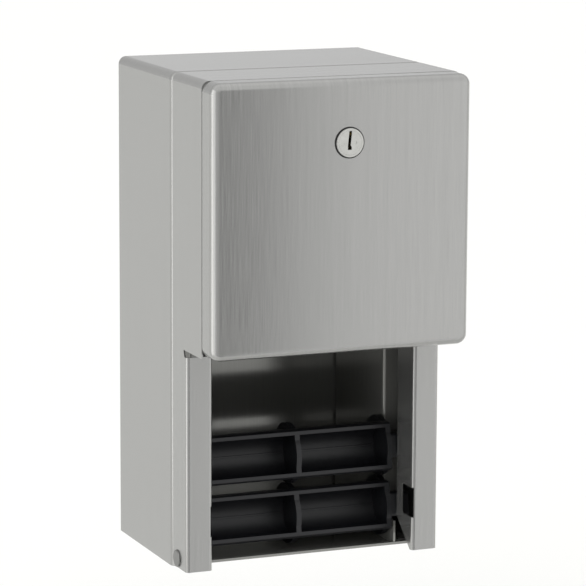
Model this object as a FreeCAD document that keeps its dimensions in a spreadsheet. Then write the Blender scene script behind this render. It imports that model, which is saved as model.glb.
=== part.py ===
"""Twin-roll toilet paper dispenser for a wall: a folded steel cabinet, a door that tips forward on two
rivets, a cam lock, and two moulded spindles in upright tracks.

Millimetres. X runs to the right, Y to the wall, Z up. The origin lies on the wall, in the middle of the four
wall holes. Inside each body, heights are counted from the cabinet's underside and depths from the wall.
"""
import FreeCAD, Part
import os
import Sketcher
from FreeCAD import Rotation, Vector

SIDES = {"left": "-1", "right": "1"}
TOLERANCE = 1e-4

# Driving dimensions: each has one value here and one cell in the sheet.
SIZES = {
    # Cabinet: one folded wrap, a back plate and a floor, spot-welded
    "cabinet_width": 153.0,
    "cabinet_height": 279.4,
    "cabinet_depth": 88.4,
    "cabinet_sheet": 0.8,
    "cabinet_bend": 4.5,
    "front_bend": 4.0,
    "front_flange": 4.6,
    "flange_relief": 14.0,
    "flange_clear": 0.8,
    "lap_gap": 0.1,
    "back_flange": 10.0,
    "hole_spacing_across": 101.6,
    "hole_spacing_up": 203.2,
    "hole_radius": 2.8,
    "floor_flange": 7.0,
    "floor_bend": 2.0,
    "lip_height": 1.5,
    "lip_end_gap": 4.0,
    "floor_notch": 1.6,
    # Door: a folded frame with two legs, and a drawn pan lapped over its front
    "door_sheet": 0.8,
    "door_gap": 0.5,
    "door_depth": 150.0,
    "pan_depth": 15.6,
    "pan_side_inset": 0.15,
    "pan_top_inset": 0.1,
    "pan_bottom": 128.1,
    "pan_edge_radius": 5.0,
    "pan_corner_radius": 6.0,
    "pan_seam": 0.2,
    "land_lap": 6.0,
    "land_rise": 7.0,
    "side_drop": 0.4,
    "leg_reach": 22.0,
    "leg_width": 15.6,
    "leg_bend": 2.0,
    "relief_height": 3.9,
    "leg_overlap": 1.0,
    "relief_depth": 1.5,
    "cutout_bottom": 20.9,
    "cutout_top": 38.4,
    "cutout_setback": 6.8,
    "cutout_nick": 0.5,
    "cutout_radius": 1.5,
    "bevel_height": 16.0,
    "bevel_setback": 2.8,
    # Hinge: rivets through ears that stand on the floor ahead of the cabinet's front edge
    "pivot_reach": 7.6,
    "pivot_height": 6.8,
    "side_round": 5.1,
    "rivet_radius": 2.5,
    "rivet_head_radius": 4.9,
    "rivet_head_height": 1.0,
    "rivet_head_round": 0.6,
    "rivet_tail_radius": 3.8,
    "rivet_tail_height": 1.2,
    "rivet_fit": 0.06,
    "ear_gap": 2.0,
    "washer_play": 0.05,
    "bracket_sheet": 1.2,
    "bracket_bend": 2.0,
    "bracket_foot": 11.0,
    "bracket_setback": 3.5,
    "bracket_length": 22.0,
    # Roll guides and the tracks in front of them
    "guide_gap": 0.9,
    "guide_sheet": 1.2,
    "guide_bend": 2.0,
    "track_width": 16.3,
    "guide_flange": 12.5,
    "guide_flange_start": 17.8,
    "guide_headroom": 23.6,
    "toe_reach": 0.5,
    "toe_notch": 0.5,
    "seat_gap": 0.3,
    # Spindles: troughs open to the front, with three discs set back and squared ends
    "lower_axis": 22.4,
    "disc_gap": 0.3,
    "disc_radius": 17.5,
    "disc_offset": 9.2,
    "disc_thickness": 3.0,
    "disc_end_gap": 0.9,
    "trough_radius": 14.4,
    "trough_front": 6.5,
    "trough_wall": 1.8,
    "rib_height": 0.8,
    "rib_width": 0.8,
    "block_size": 14.0,
    "block_round": 2.0,
    "block_reach": 9.0,
    "block_core": 4.0,
    "lower_tilt": 11.0,
    "upper_tilt": 9.0,
    # Cam lock
    "lock_offset": 3.2,
    "lock_drop": 34.7,
    "rim_radius": 8.0,
    "rim_proud": 1.1,
    "rim_round": 0.3,
    "seal_radius": 8.65,
    "seal_thickness": 0.3,
    "barrel_radius": 7.5,
    "barrel_length": 15.0,
    "barrel_fit": 0.1,
    "plug_radius": 6.7,
    "plug_fit": 0.05,
    "keyway_top": 6.4,
    "keyway_waist": 1.3,
    "keyway_jog": 2.2,
    "keyway_foot": 3.8,
    "keyway_width": 1.6,
    "keyway_lean": 0.8,
    "keyway_offset": 0.6,
    "keyway_depth": 13.0,
    "dimple_offset": 3.0,
    "dimple_radius": 0.9,
    "dimple_depth": 0.3,
    "washer_thickness": 0.6,
    "washer_width": 2.4,
    "nut_across": 22.0,
    "nut_thickness": 3.5,
    "cam_gap": 0.3,
    "cam_thickness": 2.0,
    "cam_reach": 25.0,
    "cam_width": 12.0,
    "tail_size": 6.0,
    "tail_fit": 0.1,
    "screw_radius": 1.5,
    "screw_depth": 5.0,
    "screw_head_radius": 4.2,
    "screw_head_height": 2.4,
    "wafer_count": 5,
    "wafer_pitch": 2.0,
    "wafer_first": 3.0,
    "wafer_thickness": 0.9,
    "wafer_width": 4.6,
    "wafer_height": 10.6,
    "wafer_window": 2.4,
    "wafer_fit": 0.05,
    # Keeper that the cam catches
    "keeper_sheet": 1.2,
    "keeper_bend": 2.0,
    "keeper_width": 26.0,
    "keeper_base": 34.5,
    "keeper_drop": 6.5,
    "keeper_lip": 11.0,
    "keeper_catch": 0.5,
    "keeper_clear": 1.0,
}

# Places that follow from the driving dimensions.
LAYOUT = {
    "half_height": "Sizes.cabinet_height / 2",
    "half_width": "Sizes.cabinet_width / 2",
    "half_inside": "Sizes.cabinet_width / 2 - Sizes.cabinet_sheet",
    "inside_top": "Sizes.cabinet_height - Sizes.cabinet_sheet",
    "half_liner": "Layout.half_inside - Sizes.lap_gap",
    "liner_top": "Layout.inside_top - Sizes.lap_gap",
    "liner_round": "Sizes.cabinet_bend - Sizes.cabinet_sheet - Sizes.lap_gap",
    "back_front": "Sizes.cabinet_sheet + Sizes.lap_gap",
    "floor_top": "Sizes.cabinet_sheet + Sizes.lap_gap",
    "lip_depth": "2 * Sizes.cabinet_sheet",
    "flange_inner": "Layout.half_width - Sizes.front_flange",
    "flange_under": "Sizes.cabinet_height - Sizes.front_flange",
    # Door frame
    "door_half": "Layout.half_width",
    "door_inner": "Layout.door_half - Sizes.door_sheet",
    "door_top": "Sizes.cabinet_height",
    "door_rear": "Sizes.cabinet_depth + Sizes.door_gap",
    "door_round": "Sizes.cabinet_bend",
    "leg_bottom": "Sizes.pivot_height - Sizes.side_round",
    "leg_inner": "Layout.door_half - Sizes.leg_width",
    "leg_depth": "Sizes.cabinet_depth + Sizes.leg_reach",
    "leg_side_front": "Layout.leg_depth - Sizes.leg_bend - Sizes.leg_overlap",
    "side_bottom": "Sizes.pan_bottom - Sizes.side_drop",
    "leg_top": "Layout.side_bottom - Sizes.relief_height",
    "return_rear": "Layout.door_rear",
    "cutout_rear": "Layout.return_rear + Sizes.cutout_setback",
    "bevel_front": "Layout.leg_depth - Sizes.bevel_setback",
    # Door pan and the land inside it
    "pan_rim": "Sizes.door_depth - Sizes.pan_depth",
    "pan_half": "Layout.door_half - Sizes.pan_side_inset",
    "pan_top": "Layout.door_top - Sizes.pan_top_inset",
    "frame_front": "Layout.pan_rim - Sizes.pan_seam",
    "land_half": "Layout.pan_half - Sizes.door_sheet - Sizes.lap_gap",
    "land_top": "Layout.pan_top - Sizes.door_sheet - Sizes.lap_gap",
    "land_round": "Sizes.pan_corner_radius - Sizes.door_sheet - Sizes.lap_gap",
    "land_bottom": "Sizes.pan_bottom + Sizes.land_rise",
    # Hinge
    "pivot_depth": "Sizes.cabinet_depth + Sizes.pivot_reach",
    "bracket_front": "Sizes.cabinet_depth - Sizes.bracket_setback",
    "bracket_rear": "Layout.bracket_front - Sizes.bracket_length",
    "ear_outer": "Layout.door_inner - Sizes.ear_gap",
    "ear_inner": "Layout.ear_outer - Sizes.bracket_sheet",
    "ear_half": "Sizes.pivot_height - Layout.floor_top",
    "relief_half": "Layout.ear_outer + Sizes.flange_clear",
    # Guides and tracks
    "guide_outer": "Layout.leg_inner - Sizes.guide_gap",
    "guide_inner": "Layout.guide_outer - Sizes.guide_sheet",
    "guide_front": "Layout.return_rear - Sizes.track_width",
    "guide_top": "Layout.inside_top - Sizes.guide_headroom",
    "track_middle": "(Layout.guide_front + Layout.return_rear) / 2",
    "toe_depth": "Layout.return_rear + Sizes.toe_reach",
    "lip_rear": "Sizes.cabinet_depth - Layout.lip_depth",
    # Spindles
    "upper_axis": "Sizes.lower_axis + 2 * Sizes.disc_radius + Sizes.disc_gap"
                  " + Sizes.disc_offset * (sin(Sizes.upper_tilt * 1deg) - sin(Sizes.lower_tilt * 1deg))",
    "disc_place": "Layout.guide_inner - Sizes.disc_end_gap - Sizes.disc_thickness",
    "block_end": "Layout.guide_outer + Sizes.block_reach",
    "trough_bore": "Sizes.trough_radius - Sizes.trough_wall",
    "block_corner": "Sizes.block_size / 2 - Sizes.block_round",
    "block_fall": "Layout.block_corner * (cos(Sizes.lower_tilt * 1deg) + sin(Sizes.lower_tilt * 1deg))"
                  " + Sizes.block_round",
    "toe_top": "Sizes.lower_axis - Layout.block_fall - Sizes.seat_gap",
    # Lock, counted back from the pan's front face
    "lock_height": "Layout.pan_top - Sizes.lock_drop",
    "cam_front": "Sizes.barrel_length + Sizes.cam_gap",
    "cam_rear": "Layout.cam_front + Sizes.cam_thickness",
    "plug_bore": "Sizes.plug_radius + Sizes.plug_fit",
    "nut_bore": "Sizes.barrel_radius + Sizes.plug_fit",
    "washer_front": "Sizes.door_sheet + Sizes.washer_play",
    "nut_front": "Layout.washer_front + Sizes.washer_thickness + Sizes.washer_play",
    # Keeper
    "keeper_face": "Sizes.door_depth - Layout.cam_front + Sizes.keeper_catch",
    "keeper_arm": "Layout.inside_top - Sizes.keeper_drop",
    "keeper_step": "Sizes.cabinet_depth - Sizes.front_bend - Sizes.keeper_clear",
    "keeper_rear": "Layout.keeper_step - Sizes.keeper_base",
}

doc = FreeCAD.newDocument("dispenser")


def fill_sheet(name, cells):
    """Add a sheet with one named cell for each entry."""
    sheet = doc.addObject("Spreadsheet::Sheet", name)
    for row, (alias, content) in enumerate(cells.items(), start=1):
        sheet.set("A%d" % row, alias)
        sheet.set("B%d" % row, content)
        sheet.setAlias("B%d" % row, alias)
    return sheet


fill_sheet("Sizes", {alias: str(value) for alias, value in SIZES.items()})
places = fill_sheet("Layout", {alias: "=" + rule.replace("Layout.", "") for alias, rule in LAYOUT.items()})
doc.recompute()


def number(expression):
    """Present value of an expression on the two sheets."""
    return float(places.evalExpression(expression))


def new_body(label, x="0", y="0", z="-Layout.half_height"):
    """Add a sub-part's body with its own zero at the given place."""
    body = doc.addObject("PartDesign::Body", label)
    body.Label = label
    for axis, place in zip("xyz", (x, y, z)):
        body.setExpression("Placement.Base." + axis, place)
    return body


def plane_of(body, role):
    return next(feature for feature in body.Origin.OriginFeatures if feature.Role == role)


def new_sketch(body, role, offset="0"):
    """Add a sketch on one of the body's own planes, moved along that plane's normal.

    On XZ the normal points forward, away from the wall; on YZ it points right, on XY up.
    """
    sketch = body.newObject("Sketcher::SketchObject", body.Label + "_sketch")
    sketch.AttachmentSupport = (plane_of(body, role), [""])
    sketch.MapMode = "FlatFace"
    sketch.setExpression("AttachmentOffset.Base.z", offset)
    return sketch


def tie(sketch, kind, geometry, point, expression):
    """Hold a point's X or Y at an expression, counted from the sketch's zero."""
    index = sketch.addConstraint(Sketcher.Constraint(kind, -1, 1, geometry, point, number(expression)))
    sketch.setExpression("Constraints[%d]" % index, expression)


def tie_radius(sketch, geometry, expression):
    index = sketch.addConstraint(Sketcher.Constraint("Radius", geometry, number(expression)))
    sketch.setExpression("Constraints[%d]" % index, expression)


def circle(sketch, x, y, radius):
    """Draw a circle whose centre and radius are expressions."""
    centre = Vector(number(x), number(y), 0)
    ring = sketch.addGeometry(Part.Circle(centre, Vector(0, 0, 1), number(radius)))
    tie(sketch, "DistanceX", ring, 3, x)
    tie(sketch, "DistanceY", ring, 3, y)
    tie_radius(sketch, ring, radius)


def outline(sketch, corners):
    """Draw a closed outline through corners (x, y) or, for a rounded right angle, (x, y, radius).

    A side whose ends share an expression is level or upright and is held there. A sharp corner that such
    sides leave free is held by its own two distances.
    """
    count = len(corners)
    points = [Vector(number(corner[0]), number(corner[1]), 0) for corner in corners]
    rounds = [corner[2] if len(corner) > 2 else None for corner in corners]
    upright = [corners[i][0] == corners[(i + 1) % count][0] for i in range(count)]
    level = [corners[i][1] == corners[(i + 1) % count][1] for i in range(count)]
    ways = [(points[(i + 1) % count] - points[i]).normalize() for i in range(count)]
    trims = [number(rounding) if rounding else 0.0 for rounding in rounds]
    lines = []
    for i in range(count):
        start = points[i] + ways[i] * trims[i]
        end = points[(i + 1) % count] - ways[i] * trims[(i + 1) % count]
        lines.append(sketch.addGeometry(Part.LineSegment(start, end)))
        if upright[i]:
            sketch.addConstraint(Sketcher.Constraint("Vertical", lines[i]))
            tie(sketch, "DistanceX", lines[i], 1, corners[i][0])
        if level[i]:
            sketch.addConstraint(Sketcher.Constraint("Horizontal", lines[i]))
            tie(sketch, "DistanceY", lines[i], 1, corners[i][1])
    for i in range(count):
        before = (i - 1) % count
        if rounds[i]:
            round_corner(sketch, lines[before], lines[i], points[i], ways[before], ways[i], rounds[i])
            continue
        sketch.addConstraint(Sketcher.Constraint("Coincident", lines[before], 2, lines[i], 1))
        if not (upright[before] or upright[i]):
            tie(sketch, "DistanceX", lines[i], 1, corners[i][0])
        if not (level[before] or level[i]):
            tie(sketch, "DistanceY", lines[i], 1, corners[i][1])


def round_corner(sketch, line_in, line_out, corner, way_in, way_out, radius):
    """Join two sides that meet at a right angle by a tangent arc."""
    size = number(radius)
    start = corner - way_in * size
    end = corner + way_out * size
    centre = start + way_out * size
    middle = centre + (corner - centre).normalize() * size
    turns_left = way_in.cross(way_out).z > 0
    arc = sketch.addGeometry(Part.Arc(start, middle, end) if turns_left else Part.Arc(end, middle, start))
    first, last = (1, 2) if turns_left else (2, 1)
    sketch.addConstraint(Sketcher.Constraint("Tangent", line_in, 2, arc, first))
    sketch.addConstraint(Sketcher.Constraint("Tangent", arc, last, line_out, 1))
    tie_radius(sketch, arc, radius)


def pad(body, sketch, length):
    """Raise a sketch along its normal."""
    feature = body.newObject("PartDesign::Pad", body.Label + "_pad")
    feature.Profile = sketch
    feature.setExpression("Length", length)
    return feature


def pocket(body, sketch, length=None, forward=False):
    """Cut a sketch into the body: right through both ways, or to a length against or along its normal."""
    doc.recompute()
    volume_before = body.Shape.Volume
    feature = body.newObject("PartDesign::Pocket", body.Label + "_pocket")
    feature.Profile = sketch
    if length is None:
        feature.Type = "ThroughAll"
        feature.SideType = "Symmetric"
    else:
        feature.setExpression("Length", length)
        feature.Reversed = forward
    doc.recompute()
    if not body.Shape.Volume < volume_before:
        raise RuntimeError("a cut in %s removes nothing" % body.Label)
    return feature


def revolve(body, sketch, axis):
    """Turn a sketch once round its own level (H_Axis) or upright (V_Axis) axis."""
    feature = body.newObject("PartDesign::Revolution", body.Label + "_turned")
    feature.Profile = sketch
    feature.ReferenceAxis = (sketch, [axis])
    feature.Angle = 360
    return feature


def mirror(body, features):
    """Repeat features on the other side of the YZ plane."""
    feature = body.newObject("PartDesign::Mirrored", body.Label + "_twin")
    feature.Originals = features
    feature.MirrorPlane = (plane_of(body, "YZ_Plane"), [""])
    body.Tip = feature
    return feature


def round_edges(body, base, radius, chosen):
    """Round the edges of a feature that the chosen test picks."""
    doc.recompute()
    names = ["Edge%d" % (i + 1) for i, edge in enumerate(base.Shape.Edges) if chosen(edge)]
    feature = body.newObject("PartDesign::Fillet", body.Label + "_rounding")
    feature.Base = (base, names)
    feature.setExpression("Radius", radius)
    return feature


def flat_at(shape, depth):
    """Whether an edge or face lies in the plane at one depth."""
    box = shape.BoundBox
    return abs(box.YMin - depth) < TOLERANCE and box.YLength < TOLERANCE


def hollow_from(body, base, wall, chosen):
    """Leave a wall of one thickness inside a solid's skin, open at the faces that the chosen test picks."""
    doc.recompute()
    names = ["Face%d" % (i + 1) for i, face in enumerate(base.Shape.Faces) if chosen(face)]
    feature = body.newObject("PartDesign::Thickness", body.Label + "_wall")
    feature.Base = (base, names)
    feature.setExpression("Value", wall)
    feature.Reversed = True
    return feature


def arch(half, top, bottom, sheet, rounding, inner_rounding):
    """Corners of an upside-down U of folded sheet, seen from the front."""
    inner_half = "%s - %s" % (half, sheet)
    inner_top = "%s - %s" % (top, sheet)
    return [
        ("-(%s)" % half, bottom),
        ("-(%s)" % half, top, rounding),
        (half, top, rounding),
        (half, bottom),
        (inner_half, bottom),
        (inner_half, inner_top, inner_rounding),
        ("-(%s)" % inner_half, inner_top, inner_rounding),
        ("-(%s)" % inner_half, bottom),
    ]


def rectangle(left, right, low, high):
    return [(left, low), (right, low), (right, high), (left, high)]


def make_cabinet_wrap():
    """Top and sides from one sheet, turned inward round the front opening; open at the back and bottom.

    Low down the turned edge is cut back to let the hinge ears through.
    """
    body = new_body("cabinet_wrap")
    block = new_sketch(body, "XZ_Plane")
    outline(block, [
        ("-Layout.half_width", "0"),
        ("-Layout.half_width", "Sizes.cabinet_height", "Sizes.cabinet_bend"),
        ("Layout.half_width", "Sizes.cabinet_height", "Sizes.cabinet_bend"),
        ("Layout.half_width", "0"),
    ])
    outside = pad(body, block, "Sizes.cabinet_depth")
    front = -number("Sizes.cabinet_depth")
    rounded = round_edges(body, outside, "Sizes.front_bend",
                          lambda edge: flat_at(edge, front) and edge.BoundBox.ZMax > TOLERANCE)
    hollow_from(body, rounded, "Sizes.cabinet_sheet",
                lambda face: flat_at(face, 0.0) or face.BoundBox.ZMax < TOLERANCE)
    opening = new_sketch(body, "XZ_Plane", "Sizes.cabinet_depth")
    outline(opening, [
        ("-Layout.flange_inner", "Sizes.flange_relief"),
        ("-Layout.flange_inner", "Layout.flange_under", "Sizes.cabinet_bend"),
        ("Layout.flange_inner", "Layout.flange_under", "Sizes.cabinet_bend"),
        ("Layout.flange_inner", "Sizes.flange_relief"),
        ("Layout.relief_half", "Sizes.flange_relief"),
        ("Layout.relief_half", "-Sizes.cabinet_sheet"),
        ("-Layout.relief_half", "-Sizes.cabinet_sheet"),
        ("-Layout.relief_half", "Sizes.flange_relief"),
    ])
    pocket(body, opening, "Sizes.front_bend")


def make_back_plate():
    """Back wall with flanges folded forward inside the wrap, and four wall holes."""
    body = new_body("back_plate")
    tray = new_sketch(body, "XZ_Plane")
    outline(tray, [
        ("-Layout.half_liner", "0"),
        ("-Layout.half_liner", "Layout.liner_top", "Layout.liner_round"),
        ("Layout.half_liner", "Layout.liner_top", "Layout.liner_round"),
        ("Layout.half_liner", "0"),
    ])
    pad(body, tray, "Sizes.back_flange")
    hollow = new_sketch(body, "XZ_Plane", "Sizes.back_flange")
    inner_half = "Layout.half_liner - Sizes.cabinet_sheet"
    inner_top = "Layout.liner_top - Sizes.cabinet_sheet"
    inner_round = "Layout.liner_round - Sizes.cabinet_sheet"
    outline(hollow, [
        ("-(%s)" % inner_half, "-Sizes.cabinet_sheet"),
        ("-(%s)" % inner_half, inner_top, inner_round),
        (inner_half, inner_top, inner_round),
        (inner_half, "-Sizes.cabinet_sheet"),
    ])
    pocket(body, hollow, "Sizes.back_flange - Sizes.cabinet_sheet")
    foot = new_sketch(body, "XZ_Plane", "Sizes.back_flange")
    outline(foot, rectangle("-Layout.half_width", "Layout.half_width", "-Layout.floor_top",
                            "Sizes.floor_flange + Layout.floor_top"))
    pocket(body, foot, "Sizes.back_flange - Sizes.cabinet_sheet")
    holes = new_sketch(body, "XZ_Plane")
    for across in ("-1", "1"):
        for up in ("-1", "1"):
            circle(holes, across + " * Sizes.hole_spacing_across / 2",
                   "Layout.half_height + " + up + " * Sizes.hole_spacing_up / 2", "Sizes.hole_radius")
    pocket(body, holes)


def make_floor_pan():
    """Floor with low side and rear flanges, a doubled lip along the front and clipped front corners."""
    body = new_body("floor_pan")
    inner_half = "Layout.half_liner - Sizes.cabinet_sheet"
    inner_bend = "Sizes.floor_bend - Sizes.cabinet_sheet"
    channel = new_sketch(body, "XZ_Plane", "Layout.back_front")
    outline(channel, [
        ("-Layout.half_liner", "Sizes.floor_flange"),
        ("-Layout.half_liner", "0", "Sizes.floor_bend"),
        ("Layout.half_liner", "0", "Sizes.floor_bend"),
        ("Layout.half_liner", "Sizes.floor_flange"),
        (inner_half, "Sizes.floor_flange"),
        (inner_half, "Sizes.cabinet_sheet", inner_bend),
        ("-(%s)" % inner_half, "Sizes.cabinet_sheet", inner_bend),
        ("-(%s)" % inner_half, "Sizes.floor_flange"),
    ])
    pad(body, channel, "Sizes.cabinet_depth - Layout.back_front")
    lip_half = "Layout.half_liner - Sizes.lip_end_gap"
    lip = new_sketch(body, "XZ_Plane", "Layout.lip_rear")
    outline(lip, rectangle("-(%s)" % lip_half, lip_half, "0", "Sizes.lip_height"))
    pad(body, lip, "Layout.lip_depth")
    rear = new_sketch(body, "XZ_Plane", "Layout.back_front")
    outline(rear, rectangle("-(%s)" % lip_half, lip_half, "0", "Sizes.floor_flange"))
    pad(body, rear, "Sizes.cabinet_sheet")
    corners = new_sketch(body, "XY_Plane")
    for sign in SIDES.values():
        near = sign + " * (Layout.half_liner - Sizes.floor_notch)"
        far = sign + " * Layout.half_width"
        outline(corners, rectangle(near, far, "-(Sizes.cabinet_depth + Sizes.cabinet_sheet)",
                                   "-(Sizes.cabinet_depth - Sizes.front_bend)"))
    pocket(body, corners)


def make_roll_guide(side):
    """Inner side plate: outward flanges at the wall and at the track, and a toe under the lower spindle."""
    sign = SIDES[side]
    body = new_body("roll_guide_" + side)
    inner = sign + " * Layout.guide_inner"
    outer = sign + " * Layout.guide_outer"
    reach = sign + " * (Layout.guide_inner + Sizes.guide_flange)"
    inner_bend = "Sizes.guide_bend - Sizes.guide_sheet"
    rear = "-(Layout.back_front + Sizes.cabinet_sheet)"
    rear_face = "-(Layout.back_front + Sizes.cabinet_sheet + Sizes.guide_sheet)"
    front = "-Layout.guide_front"
    front_face = "-(Layout.guide_front - Sizes.guide_sheet)"
    channel = new_sketch(body, "XY_Plane", "Sizes.guide_flange_start")
    outline(channel, [
        (reach, rear),
        (inner, rear, "Sizes.guide_bend"),
        (inner, front, "Sizes.guide_bend"),
        (reach, front),
        (reach, front_face),
        (outer, front_face, inner_bend),
        (outer, rear_face, inner_bend),
        (reach, rear_face),
    ])
    pad(body, channel, "Layout.guide_top - Sizes.guide_flange_start")
    toe = new_sketch(body, "YZ_Plane", inner if side == "right" else outer)
    notch_depth = "-(Layout.lip_rear - Sizes.toe_notch)"
    notch_height = "Sizes.lip_height + Sizes.toe_notch"
    bend_start = "-(Layout.guide_front - Sizes.guide_bend)"
    outline(toe, [
        (rear_face, "Layout.floor_top"),
        (notch_depth, "Layout.floor_top"),
        (notch_depth, notch_height),
        ("-Layout.toe_depth", notch_height),
        ("-Layout.toe_depth", "Layout.toe_top"),
        (front, "Layout.toe_top"),
        (bend_start, "Sizes.guide_flange_start"),
        (rear_face, "Sizes.guide_flange_start"),
    ])
    pad(body, toe, "Sizes.guide_sheet")


def make_hinge_bracket(side):
    """Angle on the cabinet floor whose upright reaches forward as the hinge ear."""
    sign = SIDES[side]
    body = new_body("hinge_bracket_" + side)
    outer = sign + " * Layout.ear_outer"
    inner = sign + " * Layout.ear_inner"
    foot_end = sign + " * (Layout.ear_outer - Sizes.bracket_foot)"
    top = "Layout.floor_top + 2 * Layout.ear_half"
    angle = new_sketch(body, "XZ_Plane", "Layout.bracket_rear")
    outline(angle, [
        (foot_end, "Layout.floor_top"),
        (outer, "Layout.floor_top", "Sizes.bracket_bend"),
        (outer, top),
        (inner, top),
        (inner, "Layout.floor_top + Sizes.bracket_sheet", "Sizes.bracket_bend - Sizes.bracket_sheet"),
        (foot_end, "Layout.floor_top + Sizes.bracket_sheet"),
    ])
    pad(body, angle, "Layout.bracket_front - Layout.bracket_rear")
    ear = new_sketch(body, "YZ_Plane", inner if side == "right" else outer)
    tip = "-(Layout.pivot_depth + Layout.ear_half)"
    root = "-(Layout.bracket_front - Sizes.bracket_bend)"
    bend_line = "Layout.floor_top + Sizes.bracket_bend"
    outline(ear, [
        (root, bend_line),
        ("-Layout.bracket_front", bend_line),
        ("-Layout.bracket_front", "Layout.floor_top"),
        ("-Layout.pivot_depth", "Layout.floor_top"),
        ("-Layout.pivot_depth", top),
        (root, top),
    ])
    pad(body, ear, "Sizes.bracket_sheet")
    nose = new_sketch(body, "YZ_Plane", inner if side == "right" else outer)
    circle(nose, "-Layout.pivot_depth", "Sizes.pivot_height", "Layout.ear_half")
    pad(body, nose, "Sizes.bracket_sheet")
    hole = new_sketch(body, "YZ_Plane")
    circle(hole, "-Layout.pivot_depth", "Sizes.pivot_height", "Sizes.rivet_radius + Sizes.rivet_fit")
    pocket(body, hole)


def make_hinge_rivets():
    """Two rivets on the door's pivot line, heads outside the door and tails inside the ears."""
    body = new_body("hinge_rivets", y="-Layout.pivot_depth", z="Sizes.pivot_height - Layout.half_height")
    body.AllowCompound = True
    profile = new_sketch(body, "XY_Plane")
    tail_face = "Layout.ear_inner - Sizes.washer_play"
    tail_end = "Layout.ear_inner - Sizes.washer_play - Sizes.rivet_tail_height"
    head_face = "Layout.door_half + Sizes.washer_play"
    crown = "Layout.door_half + Sizes.washer_play + Sizes.rivet_head_height"
    outline(profile, [
        (tail_end, "0"),
        (tail_end, "Sizes.rivet_tail_radius"),
        (tail_face, "Sizes.rivet_tail_radius"),
        (tail_face, "Sizes.rivet_radius"),
        (head_face, "Sizes.rivet_radius"),
        (head_face, "Sizes.rivet_head_radius"),
        (crown, "Sizes.rivet_head_radius", "Sizes.rivet_head_round"),
        (crown, "0"),
    ])
    mirror(body, [revolve(body, profile, "H_Axis")])


def make_hinge_washers():
    """Two thin washers on the rivets, between ear and door."""
    body = new_body("hinge_washers", y="-Layout.pivot_depth", z="Sizes.pivot_height - Layout.half_height")
    body.AllowCompound = True
    ring = new_sketch(body, "YZ_Plane", "Layout.ear_outer + Sizes.washer_play")
    circle(ring, "0", "0", "Layout.ear_half")
    circle(ring, "0", "0", "Sizes.rivet_radius + Sizes.rivet_fit")
    mirror(body, [pad(body, ring, "Sizes.ear_gap - 2 * Sizes.washer_play")])


def make_lock_keeper():
    """Stepped bracket under the cabinet top, with a lip in front of the locked cam."""
    body = new_body("lock_keeper")
    profile = new_sketch(body, "YZ_Plane", "Sizes.lock_offset - Sizes.keeper_width / 2")
    base_under = "Layout.liner_top - Sizes.keeper_sheet"
    arm_under = "Layout.keeper_arm - Sizes.keeper_sheet"
    step_rear = "-(Layout.keeper_step - Sizes.keeper_sheet)"
    lip_front = "-(Layout.keeper_face + Sizes.keeper_sheet)"
    lip_end = "Layout.keeper_arm - Sizes.keeper_lip"
    inner_bend = "Sizes.keeper_bend - Sizes.keeper_sheet"
    outline(profile, [
        ("-Layout.keeper_rear", "Layout.liner_top"),
        ("-Layout.keeper_step", "Layout.liner_top", "Sizes.keeper_bend"),
        ("-Layout.keeper_step", "Layout.keeper_arm", inner_bend),
        (lip_front, "Layout.keeper_arm", "Sizes.keeper_bend"),
        (lip_front, lip_end),
        ("-Layout.keeper_face", lip_end),
        ("-Layout.keeper_face", arm_under, inner_bend),
        (step_rear, arm_under, "Sizes.keeper_bend"),
        (step_rear, base_under, inner_bend),
        ("-Layout.keeper_rear", base_under),
    ])
    pad(body, profile, "Sizes.keeper_width")


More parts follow.
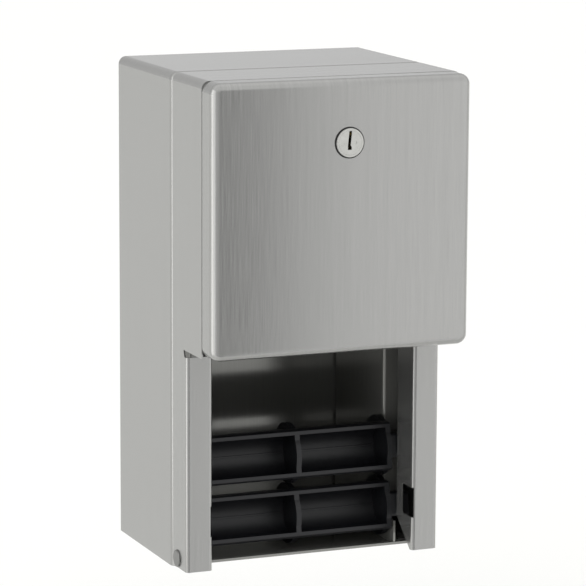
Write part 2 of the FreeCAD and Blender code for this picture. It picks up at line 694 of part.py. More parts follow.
def make_door_frame():
    """Door's top, sides and legs from one sheet; its front edge is set in as a land for the pan."""
    body = new_body("door_frame")
    fold = new_sketch(body, "XZ_Plane", "Layout.door_rear")
    outline(fold, arch("Layout.door_half", "Layout.door_top", "Layout.leg_bottom", "Sizes.door_sheet",
                       "Layout.door_round", "Layout.door_round - Sizes.door_sheet"))
    pad(body, fold, "Layout.frame_front - Layout.door_rear")

    front_waste = new_sketch(body, "YZ_Plane")
    beyond = "-(Sizes.door_depth)"
    below = "Layout.leg_bottom - Sizes.door_sheet"
    leg_front = "-Layout.leg_side_front"
    outline(front_waste, [
        (leg_front, below),
        (beyond, below),
        (beyond, "Layout.side_bottom"),
        ("-(Layout.leg_side_front - Sizes.relief_depth)", "Layout.side_bottom"),
        (leg_front, "Layout.leg_top"),
    ])
    sides = pocket(body, front_waste)

    rear = -number("Layout.door_rear")
    bottom = number("Layout.leg_bottom")
    round_edges(body, sides, "Sizes.side_round",
                lambda edge: flat_at(edge, rear) and abs(edge.BoundBox.ZMax - bottom) < TOLERANCE)

    legs = new_sketch(body, "XY_Plane", "Layout.leg_bottom")
    inner_bend = "Sizes.leg_bend - Sizes.door_sheet"
    for sign in SIDES.values():
        side_outer = sign + " * Layout.door_half"
        side_inner = sign + " * Layout.door_inner"
        return_inner = sign + " * Layout.leg_inner"
        return_outer = sign + " * (Layout.leg_inner + Sizes.door_sheet)"
        strip_rear = "-(Layout.leg_depth - Sizes.door_sheet)"
        outline(legs, [
            (side_outer, leg_front),
            (side_outer, "-Layout.leg_depth", "Sizes.leg_bend"),
            (return_inner, "-Layout.leg_depth", "Sizes.leg_bend"),
            (return_inner, "-Layout.return_rear"),
            (return_outer, "-Layout.return_rear"),
            (return_outer, strip_rear, inner_bend),
            (side_inner, strip_rear, inner_bend),
            (side_inner, leg_front),
        ])
    pad(body, legs, "Layout.leg_top - Layout.leg_bottom")

    for sign in SIDES.values():
        cut_openings_in_return(body, sign)

    holes = new_sketch(body, "YZ_Plane")
    circle(holes, "-Layout.pivot_depth", "Sizes.pivot_height", "Sizes.rivet_radius + Sizes.rivet_fit")
    pocket(body, holes)

    inner_round = "Layout.land_round - Sizes.door_sheet"
    web = new_sketch(body, "XZ_Plane", "Layout.frame_front - Sizes.door_sheet")
    inner_half = "Layout.land_half - Sizes.door_sheet"
    inner_top = "Layout.land_top - Sizes.door_sheet"
    outline(web, [
        ("-Layout.door_half", "Layout.land_bottom"),
        ("-Layout.door_half", "Layout.door_top", "Layout.door_round"),
        ("Layout.door_half", "Layout.door_top", "Layout.door_round"),
        ("Layout.door_half", "Layout.land_bottom"),
        (inner_half, "Layout.land_bottom"),
        (inner_half, inner_top, inner_round),
        ("-(%s)" % inner_half, inner_top, inner_round),
        ("-(%s)" % inner_half, "Layout.land_bottom"),
    ])
    pad(body, web, "Sizes.door_sheet")
    land = new_sketch(body, "XZ_Plane", "Layout.frame_front")
    outline(land, arch("Layout.land_half", "Layout.land_top", "Layout.land_bottom", "Sizes.door_sheet",
                       "Layout.land_round", inner_round))
    pad(body, land, "Sizes.pan_seam + Sizes.land_lap")


def cut_openings_in_return(body, sign):
    """Cut the slot through a leg's return flange and bevel the flange's foot."""
    near = "Layout.leg_inner - Sizes.cutout_nick"
    far = "Layout.leg_inner + Sizes.door_sheet + Sizes.cutout_nick"
    slot = new_sketch(body, "YZ_Plane", far if sign == "1" else "-(%s)" % near)
    front = "-(Layout.leg_depth + Sizes.door_sheet)"
    outline(slot, [
        ("-Layout.cutout_rear", "Sizes.cutout_bottom", "Sizes.cutout_radius"),
        (front, "Sizes.cutout_bottom"),
        (front, "Sizes.cutout_top"),
        ("-Layout.cutout_rear", "Sizes.cutout_top", "Sizes.cutout_radius"),
    ])
    outline(slot, [
        ("-Layout.return_rear", "Layout.leg_bottom + Sizes.bevel_height"),
        ("-Layout.bevel_front", "Layout.leg_bottom"),
        ("-Layout.return_rear", "Layout.leg_bottom"),
    ])
    pocket(body, slot, "Sizes.door_sheet + 2 * Sizes.cutout_nick")


def make_door_pan():
    """Drawn front pan: one sheet with rounded corners and edges, open to the rear, with the lock's hole."""
    body = new_body("door_pan")
    block = new_sketch(body, "XZ_Plane", "Layout.pan_rim")
    corner = "Sizes.pan_corner_radius"
    outline(block, [
        ("-Layout.pan_half", "Sizes.pan_bottom", corner),
        ("Layout.pan_half", "Sizes.pan_bottom", corner),
        ("Layout.pan_half", "Layout.pan_top", corner),
        ("-Layout.pan_half", "Layout.pan_top", corner),
    ])
    outside = pad(body, block, "Sizes.pan_depth")
    front = -number("Sizes.door_depth")
    rounded = round_edges(body, outside, "Sizes.pan_edge_radius",
                          lambda edge: flat_at(edge, front))
    rim = -number("Layout.pan_rim")
    hollow_from(body, rounded, "Sizes.door_sheet", lambda face: flat_at(face, rim))
    hole = new_sketch(body, "XZ_Plane", "Sizes.door_depth")
    circle(hole, "Sizes.lock_offset", "Layout.lock_height", "Sizes.barrel_radius + Sizes.barrel_fit")
    pocket(body, hole, "2 * Sizes.door_sheet")


def new_lock_body(label):
    """Body whose zero is the lock's centre on the pan's front face."""
    return new_body(label, "Sizes.lock_offset", "-Sizes.door_depth",
                    "Layout.lock_height - Layout.half_height")


def make_lock_barrel():
    """Turned barrel with a thin rim in front of the pan and its seal."""
    body = new_lock_body("lock_barrel")
    profile = new_sketch(body, "XY_Plane")
    outline(profile, [
        ("Layout.plug_bore", "-Sizes.rim_proud"),
        ("Sizes.rim_radius", "-Sizes.rim_proud", "Sizes.rim_round"),
        ("Sizes.rim_radius", "-Sizes.seal_thickness"),
        ("Sizes.barrel_radius", "-Sizes.seal_thickness"),
        ("Sizes.barrel_radius", "Sizes.barrel_length"),
        ("Layout.plug_bore", "Sizes.barrel_length"),
    ])
    revolve(body, profile, "V_Axis")


def make_lock_seal():
    """Thin rubber ring under the rim, a little wider than it, so that it shows as a dark line."""
    body = new_lock_body("lock_seal")
    ring = new_sketch(body, "XZ_Plane")
    circle(ring, "0", "0", "Sizes.seal_radius")
    circle(ring, "0", "0", "Sizes.barrel_radius + Sizes.barrel_fit")
    pad(body, ring, "Sizes.seal_thickness")


def make_lock_washer():
    """Flat washer under the lock's nut."""
    body = new_lock_body("lock_washer")
    ring = new_sketch(body, "XZ_Plane", "-(Layout.washer_front + Sizes.washer_thickness)")
    circle(ring, "0", "0", "Sizes.nut_across / 2 + Sizes.washer_width")
    circle(ring, "0", "0", "Layout.nut_bore")
    pad(body, ring, "Sizes.washer_thickness")


def make_lock_nut():
    """Hexagon nut that draws the barrel's rim against the seal and the pan."""
    body = new_lock_body("lock_nut")
    hexagon = new_sketch(body, "XZ_Plane", "-(Layout.nut_front + Sizes.nut_thickness)")
    half = "Sizes.nut_across / 2"
    point = "Sizes.nut_across / sqrt(3)"
    half_point = "Sizes.nut_across / sqrt(3) / 2"
    outline(hexagon, [
        (point, "0"),
        (half_point, half),
        ("-(%s)" % half_point, half),
        ("-(%s)" % point, "0"),
        ("-(%s)" % half_point, "-(%s)" % half),
        (half_point, "-(%s)" % half),
    ])
    circle(hexagon, "0", "0", "Layout.nut_bore")
    pad(body, hexagon, "Sizes.nut_thickness")


def make_lock_plug():
    """Plug with its keyway, wafer slots, square tail and screw hole."""
    body = new_lock_body("lock_plug")
    core = new_sketch(body, "XZ_Plane", "-Sizes.barrel_length")
    circle(core, "0", "0", "Sizes.plug_radius")
    pad(body, core, "Sizes.barrel_length + Sizes.rim_proud")
    tail = new_sketch(body, "XZ_Plane", "-(Layout.cam_rear - Sizes.tail_fit)")
    half_tail = "Sizes.tail_size / 2"
    outline(tail, rectangle("-(%s)" % half_tail, half_tail, "-(%s)" % half_tail, half_tail))
    pad(body, tail, "Layout.cam_rear - Sizes.tail_fit - Sizes.barrel_length")

    keyway = new_sketch(body, "XZ_Plane", "Sizes.rim_proud")
    half_key = "Sizes.keyway_width / 2"
    outline(keyway, [
        ("-Sizes.keyway_offset + Sizes.keyway_lean - %s" % half_key, "Sizes.keyway_top"),
        ("-Sizes.keyway_offset + Sizes.keyway_lean + %s" % half_key, "Sizes.keyway_top"),
        ("-Sizes.keyway_offset + %s" % half_key, "-Sizes.keyway_waist"),
        ("%s" % half_key, "-Sizes.keyway_jog"),
        ("%s" % half_key, "-Sizes.keyway_foot"),
        ("-Sizes.keyway_offset - %s" % half_key, "-Sizes.keyway_foot"),
        ("-Sizes.keyway_offset - %s" % half_key, "-Sizes.keyway_waist"),
    ])
    pocket(body, keyway, "Sizes.keyway_depth")
    dimple = new_sketch(body, "XZ_Plane", "Sizes.rim_proud")
    circle(dimple, "Sizes.dimple_offset", "0", "Sizes.dimple_radius")
    pocket(body, dimple, "Sizes.dimple_depth")

    slots = new_sketch(body, "XY_Plane")
    slot_half = "Sizes.wafer_width / 2 + Sizes.wafer_fit"
    for index in range(int(number("Sizes.wafer_count"))):
        start = "Sizes.wafer_first + %d * Sizes.wafer_pitch - Sizes.wafer_fit" % index
        end = "%s + Sizes.wafer_thickness + 2 * Sizes.wafer_fit" % start
        outline(slots, rectangle("-(%s)" % slot_half, slot_half, start, end))
    pocket(body, slots)
    screw_hole = new_sketch(body, "XZ_Plane", "-(Layout.cam_rear - Sizes.tail_fit)")
    circle(screw_hole, "0", "0", "Sizes.screw_radius + Sizes.tail_fit")
    pocket(body, screw_hole, "Sizes.screw_depth + Sizes.tail_fit", forward=True)


def make_lock_wafers():
    """Flat tumblers in a row along the plug, each with a window for the key."""
    body = new_lock_body("lock_wafers")
    body.AllowCompound = True
    plate = new_sketch(body, "XZ_Plane", "-(Sizes.wafer_first + Sizes.wafer_thickness)")
    half_wide = "Sizes.wafer_width / 2"
    half_tall = "Sizes.wafer_height / 2"
    outline(plate, rectangle("-(%s)" % half_wide, half_wide, "-(%s)" % half_tall, half_tall))
    half_window = "Sizes.wafer_window / 2"
    outline(plate, rectangle("-(%s)" % half_window, half_window, "-Sizes.keyway_foot", "Sizes.keyway_foot"))
    first = pad(body, plate, "Sizes.wafer_thickness")
    row = body.newObject("PartDesign::LinearPattern", "lock_wafers_row")
    row.Originals = [first]
    row.Direction = (plate, ["N_Axis"])
    row.Reversed = True
    row.setExpression("Length", "(Sizes.wafer_count - 1) * Sizes.wafer_pitch")
    row.setExpression("Occurrences", "Sizes.wafer_count")
    body.Tip = row


def make_lock_cam():
    """Flat cam on the plug's tail, pointing left while unlocked."""
    body = new_lock_body("lock_cam")
    half_cam = "Sizes.cam_width / 2"
    lever = new_sketch(body, "XZ_Plane", "-Layout.cam_rear")
    outline(lever, [
        ("0", "-(%s)" % half_cam),
        ("0", half_cam),
        ("-Sizes.cam_reach", half_cam, "Sizes.cam_width / 3"),
        ("-Sizes.cam_reach", "-(%s)" % half_cam, "Sizes.cam_width / 3"),
    ])
    pad(body, lever, "Sizes.cam_thickness")
    hub = new_sketch(body, "XZ_Plane", "-Layout.cam_rear")
    circle(hub, "0", "0", half_cam)
    pad(body, hub, "Sizes.cam_thickness")
    square = new_sketch(body, "XZ_Plane")
    half_hole = "Sizes.tail_size / 2 + Sizes.tail_fit"
    outline(square, rectangle("-(%s)" % half_hole, half_hole, "-(%s)" % half_hole, half_hole))
    pocket(body, square)


def make_cam_screw():
    """Pan-head screw that holds the cam on the tail."""
    body = new_lock_body("cam_screw")
    profile = new_sketch(body, "XY_Plane")
    head_end = "Layout.cam_rear + Sizes.screw_head_height"
    outline(profile, [
        ("0", "Layout.cam_rear - Sizes.screw_depth"),
        ("Sizes.screw_radius", "Layout.cam_rear - Sizes.screw_depth"),
        ("Sizes.screw_radius", "Layout.cam_rear"),
        ("Sizes.screw_head_radius", "Layout.cam_rear"),
        ("Sizes.screw_head_radius", head_end, "Sizes.screw_head_height / 2"),
        ("0", head_end),
    ])
    revolve(body, profile, "V_Axis")


def make_spindle(label, axis, tilt):
    """Moulded spindle: a round trough open to the front and crossed by three webs, a disc round each web to
    carry a roll's core, an inner rib, and cored square ends that slide in the tracks."""
    body = new_body(label, "0", "-Layout.track_middle", axis + " - Layout.half_height")
    body.Placement.Rotation = Rotation(Vector(1, 0, 0), -number(tilt))
    body.setExpression("Placement.Rotation.Angle", "-" + tilt)
    reach = "Layout.disc_place + Sizes.disc_thickness"
    tube = new_sketch(body, "YZ_Plane", "-(%s)" % reach)
    circle(tube, "0", "0", "Sizes.trough_radius")
    circle(tube, "0", "0", "Layout.trough_bore")
    pad(body, tube, "2 * (%s)" % reach)
    stations = ("-(%s)" % reach, "-Sizes.disc_thickness / 2", "Layout.disc_place")
    for start in stations:
        web = new_sketch(body, "YZ_Plane", start)
        circle(web, "0", "0", "Layout.trough_bore + Sizes.trough_wall / 2")
        pad(body, web, "Sizes.disc_thickness")
    front = new_sketch(body, "YZ_Plane")
    outline(front, rectangle("-Sizes.disc_radius", "-Sizes.trough_front",
                             "-Sizes.disc_radius", "Sizes.disc_radius"))
    pocket(body, front)
    rib = new_sketch(body, "YZ_Plane", "-(%s)" % reach)
    half_rib = "Sizes.rib_width / 2"
    outline(rib, rectangle("Layout.trough_bore - Sizes.rib_height",
                           "Layout.trough_bore + Sizes.trough_wall / 2", "-(%s)" % half_rib, half_rib))
    pad(body, rib, "2 * (%s)" % reach)
    for start in stations:
        disc = new_sketch(body, "YZ_Plane", start)
        circle(disc, "Sizes.disc_offset", "0", "Sizes.disc_radius")
        pad(body, disc, "Sizes.disc_thickness")
    half_block = "Sizes.block_size / 2"
    for start, mouth in (("-Layout.block_end", "-Layout.block_end"), (reach, "Layout.block_end")):
        block = new_sketch(body, "YZ_Plane", start)
        outline(block, [
            ("-(%s)" % half_block, "-(%s)" % half_block, "Sizes.block_round"),
            (half_block, "-(%s)" % half_block, "Sizes.block_round"),
            (half_block, half_block, "Sizes.block_round"),
            ("-(%s)" % half_block, half_block, "Sizes.block_round"),
        ])
        pad(body, block, "Layout.block_end - (%s)" % reach)
        core = new_sketch(body, "YZ_Plane", mouth)
        circle(core, "0", "0", "Sizes.block_core")
        pocket(body, core, "Layout.block_end - (%s)" % reach, forward=start == mouth)


def write_parts():
    """Check every object and sub-part, then write one file for each sub-part."""
    doc.recompute()
    for item in doc.Objects:
        if "Invalid" in item.State or "Error" in item.State:
            raise RuntimeError("%s failed: %s" % (item.Label, item.State))
    bodies = [item for item in doc.Objects if item.TypeId == "PartDesign::Body"]
    for body in bodies:
        if body.Shape.isNull() or not body.Shape.isValid() or not body.Shape.Solids:
            raise RuntimeError("%s has no sound solid" % body.Label)
    os.makedirs("parts", exist_ok=True)
    for body in bodies:
        body.Shape.exportStep(os.path.join("parts", body.Label + ".step"))
        print("%-22s %d solid(s) %10.1f mm3" % (body.Label, len(body.Shape.Solids), body.Shape.Volume))


make_cabinet_wrap()
make_back_plate()
make_floor_pan()
for wall_side in SIDES:
    make_roll_guide(wall_side)
    make_hinge_bracket(wall_side)
make_hinge_rivets()
make_hinge_washers()
make_lock_keeper()
make_door_frame()
make_door_pan()
make_lock_barrel()
make_lock_seal()
make_lock_washer()
make_lock_nut()
make_lock_plug()
make_lock_wafers()
make_lock_cam()
make_cam_screw()
make_spindle("lower_spindle", "Sizes.lower_axis", "Sizes.lower_tilt")
make_spindle("upper_spindle", "Layout.upper_axis", "Sizes.upper_tilt")
write_parts()
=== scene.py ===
import math

import bpy
import numpy as np
from mathutils import Matrix, Vector


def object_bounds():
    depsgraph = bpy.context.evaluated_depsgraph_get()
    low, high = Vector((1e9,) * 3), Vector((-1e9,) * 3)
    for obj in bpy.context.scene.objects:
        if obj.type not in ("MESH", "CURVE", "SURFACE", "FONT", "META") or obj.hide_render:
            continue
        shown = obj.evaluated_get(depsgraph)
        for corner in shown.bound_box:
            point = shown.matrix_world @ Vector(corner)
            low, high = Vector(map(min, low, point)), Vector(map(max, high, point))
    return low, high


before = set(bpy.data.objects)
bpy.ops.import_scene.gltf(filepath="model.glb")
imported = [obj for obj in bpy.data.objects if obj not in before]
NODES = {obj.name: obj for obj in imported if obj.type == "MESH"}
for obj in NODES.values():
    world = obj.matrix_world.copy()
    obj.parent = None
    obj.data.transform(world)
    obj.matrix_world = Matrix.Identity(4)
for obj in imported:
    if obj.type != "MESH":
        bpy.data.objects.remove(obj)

# The frame's own box, kept before anything is added.
CAD_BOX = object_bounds()
MM = 0.001

# Where the photograph was taken from, in metres and degrees, with the lens on a 36 mm square frame.
CAMERA_PLACE = Vector((-0.690428, -1.757237, 0.337191))
CAMERA_YAW = 22.353
CAMERA_PITCH = 10.209
CAMERA_ROLL = -0.278
CAMERA_LENS = 200.06
SENSOR = 36.0

# Name of the UV map that lays the brushing on a piece.
GRAIN = "grain"
# Width and length of the brushing's streaks, in mm. The fine ones are about twice as wide as the real
# scratches, which are too fine to show in the picture. The broad ones make a small share of the pattern.
FINE_STREAK = (0.45, 30.0)
BROAD_STREAK = (2.7, 150.0)
BROAD_SHARE = 0.2
# How far the roughness swings from streak to streak, and how strongly the scratches show as relief.
STREAK_SWING = 0.03
STREAK_RELIEF = 0.03
# The same for the grain of moulded pieces.
MOULD_SWING = 0.05
MOULD_RELIEF = 0.15
# Depth of both reliefs, and the size of the cloudy patches on small metal parts, in mm.
RELIEF_DEPTH = 0.05
CLOUD_SIZE = 2.5
# Nearly all of a noise's values lie in this range.
NOISE_RANGE = (("From Min", 0.3), ("From Max", 0.7))

# The floor, in metres: half its width, its rear edge, where it starts to turn down in front, the radius of
# that bend, how far it falls after it, and how far it lies under the dispenser.
FLOOR_HALF = 7.0
FLOOR_REAR = 7.0
FLOOR_EDGE = -0.27
FLOOR_BEND = 0.05
FLOOR_FALL = 0.6
FLOOR_DROP = 0.09
BEND_POINTS = 13

# Radiance of the studio against the angle up from the horizon behind the dispenser, over its top, to the
# horizon in front, in degrees: pale behind, with a lamp bank overhead.
STUDIO = ((-180, 1.25), (-90, 1.0), (-30, 1.0), (12, 0.74), (38, 0.75), (75, 1.3), (115, 1.15), (150, 1.15),
          (180, 1.25))
# Share of that light against the bearing, in degrees right of straight ahead: it is dim behind the camera.
BEARING = ((-180, 1.0), (-100, 1.0), (-60, 0.7), (-25, 0.6), (0, 0.4), (14.3, 0.12), (18.3, 1.12), (70, 1.12),
           (120, 1.0), (180, 1.0))
# Sines of the angle upwards between which that share gives way to the full light.
SHARE_FADES = 0.3
SHARE_GONE = 0.6
# The two lights on the left, in metres: their distance from the middle, the height of their centres, how
# tall they are, and for each its name, depth, width and radiance.
LEFT_X = -0.43
LEFT_Z = 0.065
LEFT_TALL = 0.57
LEFT_LIGHTS = (("left_strip", -0.08, 0.09, 2.0), ("left_box", -0.245, 0.24, 0.95))


def linear(colour):
    """An sRGB hex colour as linear RGBA."""
    encoded = [int(colour[i:i + 2], 16) / 255 for i in (1, 3, 5)]
    return [c / 12.92 if c <= 0.04045 else ((c + 0.055) / 1.055) ** 2.4 for c in encoded] + [1.0]


def add(tree, kind, inputs=(), **settings):
    """Adds one node: settings are its properties, inputs pairs of socket and value or source socket."""
    made = tree.nodes.new(kind)
    for name, value in settings.items():
        setattr(made, name, value)
    for socket, value in inputs:
        if isinstance(value, bpy.types.NodeSocket):
            tree.links.new(value, made.inputs[socket])
        else:
            made.inputs[socket].default_value = value
    return made


def new_material(name):
    """An empty node material with its Principled shader."""
    material = bpy.data.materials.new(name)
    material.use_nodes = True
    tree = material.node_tree
    tree.nodes.clear()
    shader = add(tree, "ShaderNodeBsdfPrincipled")
    add(tree, "ShaderNodeOutputMaterial", [("Surface", shader.outputs["BSDF"])])
    return material, tree, shader


def bowed_normal(tree, crown):
    """The normal of a face that bows out a little: it turns sideways by crown times x, in radians a metre."""
    place = add(tree, "ShaderNodeTexCoord")
    side = add(tree, "ShaderNodeSeparateXYZ", [("Vector", place.outputs["Object"])])
    lean = add(tree, "ShaderNodeMath", [(0, side.outputs["X"]), (1, crown)], operation="MULTIPLY")
    sideways = add(tree, "ShaderNodeCombineXYZ", [("X", lean.outputs["Value"])])
    flat = add(tree, "ShaderNodeNewGeometry")
    bowed = add(tree, "ShaderNodeVectorMath", [(0, flat.outputs["Normal"]), (1, sideways.outputs["Vector"])])
    outward = add(tree, "ShaderNodeVectorMath", [(0, bowed.outputs["Vector"])], operation="NORMALIZE")
    return outward.outputs["Vector"]


def brushed_steel(name, colour, roughness, anisotropy, contrast, scatter, crown=0.0):
    """Brushed stainless steel. The belt leaves fine parallel scratches, so a light draws out across them into
    a soft band, and single streaks stand a little lighter or darker than their neighbours. The steep flanks
    of the deeper scratches scatter a share of the light all ways, which greys the shaded folds.
    """
    material, tree, shader = new_material(name)
    place = add(tree, "ShaderNodeUVMap", uv_map=GRAIN)
    streaks = []
    for (width, length), detail in ((FINE_STREAK, 3.0), (BROAD_STREAK, 1.0)):
        scaled = add(tree, "ShaderNodeVectorMath", [
            (0, place.outputs["UV"]), (1, (1 / (width * MM), 1 / (length * MM), 0.0))], operation="MULTIPLY")
        streak = add(tree, "ShaderNodeTexNoise", [
            ("Vector", scaled.outputs["Vector"]), ("Scale", 1.0), ("Detail", detail)], noise_dimensions="2D")
        streaks.append(streak.outputs["Fac"])
    fine, broad = streaks
    both = add(tree, "ShaderNodeMix", [("Factor", BROAD_SHARE), ("A", fine), ("B", broad)])
    shade = add(tree, "ShaderNodeMapRange", [
        ("Value", both.outputs["Result"]), *NOISE_RANGE,
        ("To Min", 1 - contrast), ("To Max", 1 + contrast)], clamp=False)
    tint = add(tree, "ShaderNodeMix", [
        ("Factor", 1.0), ("A", linear(colour)), ("B", shade.outputs["Result"])],
        data_type="RGBA", blend_type="MULTIPLY")
    gloss = add(tree, "ShaderNodeMapRange", [
        ("Value", fine), *NOISE_RANGE,
        ("To Min", roughness - STREAK_SWING), ("To Max", roughness + STREAK_SWING)])
    scratch = add(tree, "ShaderNodeBump", [
        ("Strength", STREAK_RELIEF), ("Distance", RELIEF_DEPTH * MM), ("Height", fine)])
    if crown:
        tree.links.new(bowed_normal(tree, crown), scratch.inputs["Normal"])
    across = add(tree, "ShaderNodeTangent", direction_type="UV_MAP", uv_map=GRAIN)
    shader.inputs["Metallic"].default_value = 1 - scatter
    shader.inputs["Anisotropic"].default_value = anisotropy
    for socket, source in (("Base Color", tint.outputs["Result"]), ("Roughness", gloss.outputs["Result"]),
                           ("Normal", scratch.outputs["Normal"]), ("Tangent", across.outputs["Tangent"])):
        tree.links.new(source, shader.inputs[socket])
    return material


def smooth_metal(name, colour, roughness, wear):
    """A small metal part, plated or bare: nearly even, with faint cloudy patches where the gloss differs."""
    material, tree, shader = new_material(name)
    place = add(tree, "ShaderNodeTexCoord")
    cloud = add(tree, "ShaderNodeTexNoise", [
        ("Vector", place.outputs["Object"]), ("Scale", 1 / (CLOUD_SIZE * MM)), ("Detail", 3.0)])
    gloss = add(tree, "ShaderNodeMapRange", [
        ("Value", cloud.outputs["Fac"]), *NOISE_RANGE,
        ("To Min", roughness - wear), ("To Max", roughness + wear)])
    shader.inputs["Base Color"].default_value = linear(colour)
    shader.inputs["Metallic"].default_value = 1.0
    tree.links.new(gloss.outputs["Result"], shader.inputs["Roughness"])
    return material


def moulded(name, colour, roughness, grain_mm):
    """Moulded plastic or rubber with the fine spark-eroded grain of its mould, which softens highlights."""
    material, tree, shader = new_material(name)
    place = add(tree, "ShaderNodeTexCoord")
    grain = add(tree, "ShaderNodeTexNoise", [
        ("Vector", place.outputs["Object"]), ("Scale", 1 / (grain_mm * MM)), ("Detail", 2.0)])
    gloss = add(tree, "ShaderNodeMapRange", [
        ("Value", grain.outputs["Fac"]), *NOISE_RANGE,
        ("To Min", roughness - MOULD_SWING), ("To Max", roughness + MOULD_SWING)])
    bump = add(tree, "ShaderNodeBump", [
        ("Strength", MOULD_RELIEF), ("Distance", RELIEF_DEPTH * MM), ("Height", grain.outputs["Fac"])])
    shader.inputs["Base Color"].default_value = linear(colour)
    tree.links.new(gloss.outputs["Result"], shader.inputs["Roughness"])
    tree.links.new(bump.outputs["Normal"], shader.inputs["Normal"])
    return material


def map_grain(piece, drawn=False):
    """Lays the brushing on a piece: U runs across the scratches and V along them, in metres.

    Faces that look forward or back are brushed upright: U is x, and V is z less y. Sides and top are one
    folded strip, so U is the depth y, and V is z less the distance from the middle, which runs on over the
    bend. A drawn piece was brushed upright before drawing, so all but its sides are mapped as the front is.
    """
    mesh = piece.data
    normals = np.empty(len(mesh.polygons) * 3)
    mesh.polygons.foreach_get("normal", normals)
    corners = np.empty(len(mesh.polygons), int)
    mesh.polygons.foreach_get("loop_total", corners)
    vertex = np.empty(len(mesh.loops), int)
    mesh.loops.foreach_get("vertex_index", vertex)
    points = np.empty(len(mesh.vertices) * 3)
    mesh.vertices.foreach_get("co", points)
    x, y, z = points.reshape(-1, 3)[vertex].T
    main = np.repeat(np.abs(normals.reshape(-1, 3)).argmax(axis=1), corners)
    upright = main != 0 if drawn else main == 1
    layer = mesh.uv_layers.new(name=GRAIN)
    across = np.where(upright, x, y)
    along = np.where(upright, z - y, z - np.abs(x))
    layer.uv.foreach_set("vector", np.stack([across, along], axis=1).astype(np.float32).ravel())


def finish_nodes(material, *names):
    """Gives CAD nodes one material."""
    for name in names:
        piece = NODES[name]
        piece.data.materials.clear()
        piece.data.materials.append(material)


# Satin sheet outside: belt-brushed, so it shines in soft bands and shows an upright grain. The door's pan is
# the same sheet, drawn, and its faint crown lets the shade run across its face.
OUTSIDE = {"colour": "#9F9F9D", "roughness": 0.22, "anisotropy": 0.75, "contrast": 0.06, "scatter": 0.2}
SATIN = brushed_steel("brushed_stainless", **OUTSIDE)
DRAWN = brushed_steel("brushed_stainless_drawn", **OUTSIDE, crown=1.3)
# Sheet inside: left as it came, so a grey film dulls it, under a tighter gloss.
INSIDE = brushed_steel("brushed_stainless_inside", "#858581", roughness=0.14, anisotropy=0.7, contrast=0.05,
                       scatter=0.55)
# Lock face: satin nickel plate, a warm light grey that mirrors softly.
NICKEL = smooth_metal("nickel_plated_brass", "#B2B2AE", 0.24, 0.04)
# Rivets: bare steel, greyer and duller than the satin sheet.
RIVET = smooth_metal("plain_steel", "#7E7E7C", 0.32, 0.05)
# Lock nut, washer, cam and screw: zinc plate, a bluish grey with blurred highlights.
ZINC = smooth_metal("zinc_plated_steel", "#B9BCC0", 0.34, 0.06)
# Lock wafers: rolled brass, dull and brownish at the bottom of the keyway.
BRASS = smooth_metal("rolled_brass", "#8F7A46", 0.4, 0.05)
# Spindles: black ABS with half a shine, so that mostly their rims show.
BLACK = moulded("black_abs", "#0E0F13", 0.45, 0.6)
# Hinge washers: nylon, waxy and off-white.
NYLON = moulded("white_nylon", "#E4E2DA", 0.45, 0.8)
# Lock seal: black rubber, nearly matt. Its black ring round the lock face also stands in for the shadow and
# gap at the rim's edge: painted shade.
RUBBER_AND_RIM_SHADE = moulded("black_rubber", "#151515", 0.7, 0.5)

SATIN_NODES = ("cabinet_wrap", "door_frame")
INSIDE_NODES = ("back_plate", "floor_pan", "roll_guide_left", "roll_guide_right", "hinge_bracket_left",
                "hinge_bracket_right", "lock_keeper")
for node_name in SATIN_NODES + INSIDE_NODES:
    map_grain(NODES[node_name])
map_grain(NODES["door_pan"], drawn=True)
finish_nodes(SATIN, *SATIN_NODES)
finish_nodes(DRAWN, "door_pan")
finish_nodes(INSIDE, *INSIDE_NODES)
finish_nodes(NICKEL, "lock_barrel", "lock_plug")
finish_nodes(RIVET, "hinge_rivets")
finish_nodes(ZINC, "lock_nut", "lock_washer", "lock_cam", "cam_screw")
finish_nodes(BRASS, "lock_wafers")
finish_nodes(BLACK, "lower_spindle", "upper_spindle")
finish_nodes(NYLON, "hinge_washers")
# The seal's black ring is partly painted shade, standing in for the shadow and gap round the lock's rim.
finish_nodes(RUBBER_AND_RIM_SHADE, "lock_seal")


def make_floor():
    """A plain pale sheet, so far below the dispenser that the opened door swings clear of it.

    Its profile (y, z) is level, then turns down in front through a quarter circle and falls straight.
    """
    low = CAD_BOX[0].z - FLOOR_DROP
    front = FLOOR_EDGE - FLOOR_BEND
    turn = np.linspace(0.0, math.pi / 2, BEND_POINTS)
    depth = np.concatenate([[FLOOR_REAR], FLOOR_EDGE - FLOOR_BEND * np.sin(turn), [front]])
    height = np.concatenate([[low], low - FLOOR_BEND * (1 - np.cos(turn)), [low - FLOOR_BEND - FLOOR_FALL]])
    count = len(depth)
    width = np.repeat([-FLOOR_HALF, FLOOR_HALF], count)
    points = np.stack([width, np.tile(depth, 2), np.tile(height, 2)], axis=1)
    first = np.arange(count - 1)
    faces = np.stack([first, first + 1, first + 1 + count, first + count], axis=1)
    mesh = bpy.data.meshes.new("floor")
    mesh.from_pydata(points.tolist(), [], faces.tolist())
    floor = bpy.data.objects.new("floor", mesh)
    bpy.context.scene.collection.objects.link(floor)
    # Matt paper: near white and without a highlight.
    material, _, shader = new_material("pale_floor")
    shader.inputs["Base Color"].default_value = linear("#F8F8F6")
    shader.inputs["Roughness"].default_value = 0.9
    mesh.materials.append(material)


def softbox(name, place, target, width, height, radiance):
    """A rectangular area light that faces its target; radiance times pi times area is its power."""
    lamp = bpy.data.lights.new(name, "AREA")
    lamp.shape = "RECTANGLE"
    lamp.size = width
    lamp.size_y = height
    lamp.energy = radiance * math.pi * width * height
    light = bpy.data.objects.new(name, lamp)
    aim = Vector(target) - Vector(place)
    light.matrix_world = Matrix.Translation(place) @ aim.to_track_quat("-Z", "Y").to_matrix().to_4x4()
    light.visible_camera = False
    bpy.context.scene.collection.objects.link(light)


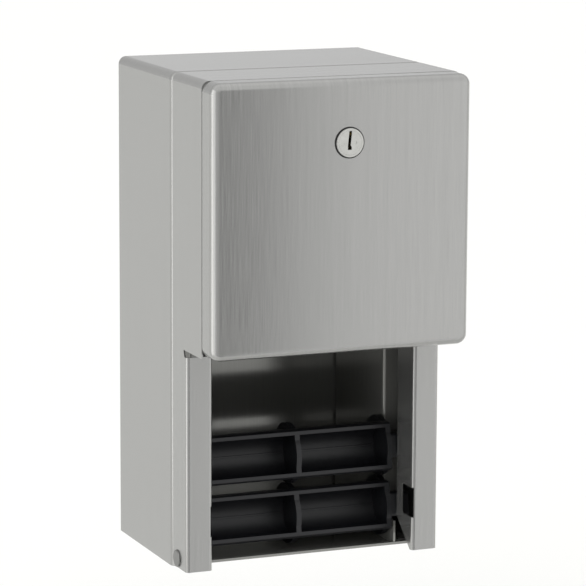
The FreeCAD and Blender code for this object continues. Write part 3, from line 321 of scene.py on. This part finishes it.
def by_angle(tree, angle, table):
    """A value that follows a table of degrees and values along an angle in radians."""
    turn = add(tree, "ShaderNodeMapRange", [("Value", angle), ("From Min", -math.pi), ("From Max", math.pi)])
    ramp = add(tree, "ShaderNodeValToRGB", [("Fac", turn.outputs["Result"])])
    stops = ramp.color_ramp.elements
    for degrees, value in table:
        place = (degrees + 180) / 360
        stop = stops[0] if place == 0.0 else stops[-1] if place == 1.0 else stops.new(place)
        stop.color = [value, value, value, 1.0]
    return ramp.outputs["Color"]


def make_light():
    """Soft studio light from all round, and a softbox and a strip light close by on the left."""
    world = bpy.data.worlds.new("studio")
    world.use_nodes = True
    tree = world.node_tree
    tree.nodes.clear()
    way = add(tree, "ShaderNodeTexCoord")
    part = add(tree, "ShaderNodeSeparateXYZ", [("Vector", way.outputs["Generated"])])
    angle = add(tree, "ShaderNodeMath", [(0, part.outputs["Z"]), (1, part.outputs["Y"])], operation="ARCTAN2")
    ahead = add(tree, "ShaderNodeMath", [(0, part.outputs["Y"]), (1, -1.0)], operation="MULTIPLY")
    bearing = add(tree, "ShaderNodeMath", [(0, part.outputs["X"]), (1, ahead.outputs["Value"])],
                  operation="ARCTAN2")
    share = by_angle(tree, bearing.outputs["Value"], BEARING)
    high = add(tree, "ShaderNodeMapRange", [
        ("Value", part.outputs["Z"]), ("From Min", SHARE_FADES), ("From Max", SHARE_GONE)])
    dimmed = add(tree, "ShaderNodeMix", [("Factor", high.outputs["Result"]), ("A", share), ("B", 1.0)])
    studio = add(tree, "ShaderNodeBackground", [
        ("Color", by_angle(tree, angle.outputs["Value"], STUDIO)), ("Strength", dimmed.outputs["Result"])])
    add(tree, "ShaderNodeOutputWorld", [("Surface", studio.outputs["Background"])])
    bpy.context.scene.world = world
    for name, depth, width, radiance in LEFT_LIGHTS:
        softbox(name, (LEFT_X, depth, LEFT_Z), (0.0, depth, LEFT_Z), width, LEFT_TALL, radiance)


def make_camera():
    """The photograph's camera: yaw turns it right, pitch tips it down, roll turns the picture."""
    yaw, pitch, roll = (math.radians(a) for a in (CAMERA_YAW, CAMERA_PITCH, CAMERA_ROLL))
    ahead = Vector((math.sin(yaw) * math.cos(pitch), math.cos(yaw) * math.cos(pitch), -math.sin(pitch)))
    level = Vector((math.cos(yaw), -math.sin(yaw), 0.0))
    down = ahead.cross(level)
    right = math.cos(roll) * level + math.sin(roll) * down
    down = math.cos(roll) * down - math.sin(roll) * level
    data = bpy.data.cameras.new("photo_camera")
    data.lens = CAMERA_LENS
    data.sensor_width = SENSOR
    camera = bpy.data.objects.new("photo_camera", data)
    turned = Matrix((right, -down, -ahead)).transposed().to_4x4()
    camera.matrix_world = Matrix.Translation(CAMERA_PLACE) @ turned
    bpy.context.scene.collection.objects.link(camera)
    bpy.context.scene.camera = camera


make_floor()
make_light()
make_camera()
bpy.context.scene.view_settings.view_transform = "Standard"
